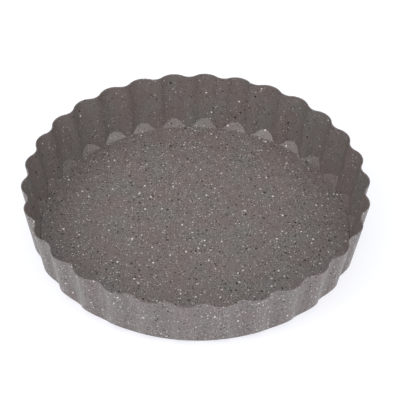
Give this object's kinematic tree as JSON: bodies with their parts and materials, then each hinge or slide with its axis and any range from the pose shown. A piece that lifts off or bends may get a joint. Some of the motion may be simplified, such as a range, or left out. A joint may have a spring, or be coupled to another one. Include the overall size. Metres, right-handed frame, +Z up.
{
  "type": "fluted tart pan",
  "caption": "Round fluted tart pan with a flared scalloped wall and a flat loose base that lifts out of the ring, in speckled stone-look non-stick coating.",
  "frame": {"origin": "centre of the plane that the pan stands on, on the pan's axis of symmetry", "axes": "+Z up along the axis of symmetry, out of the open mouth; +Y points to the back, and the flute lobe nearest to +Y is turned 2.5 degrees from it towards +X"},
  "size_m": [0.2794, 0.2798, 0.05],
  "materials": {
    "speckled_coating": "satin warm grey non-stick coating with fine white and black stone-look speckles"
  },
  "bodies": {
    "ring": {"fluted_ring": "speckled_coating"},
    "base": {"loose_base": "speckled_coating"}
  },
  "joints": [
    {"name": "base_lift", "type": "slide", "parent": "ring", "child": "base", "axis": [0, 0, 1], "range_m": [0, 0.065]}
  ]
}
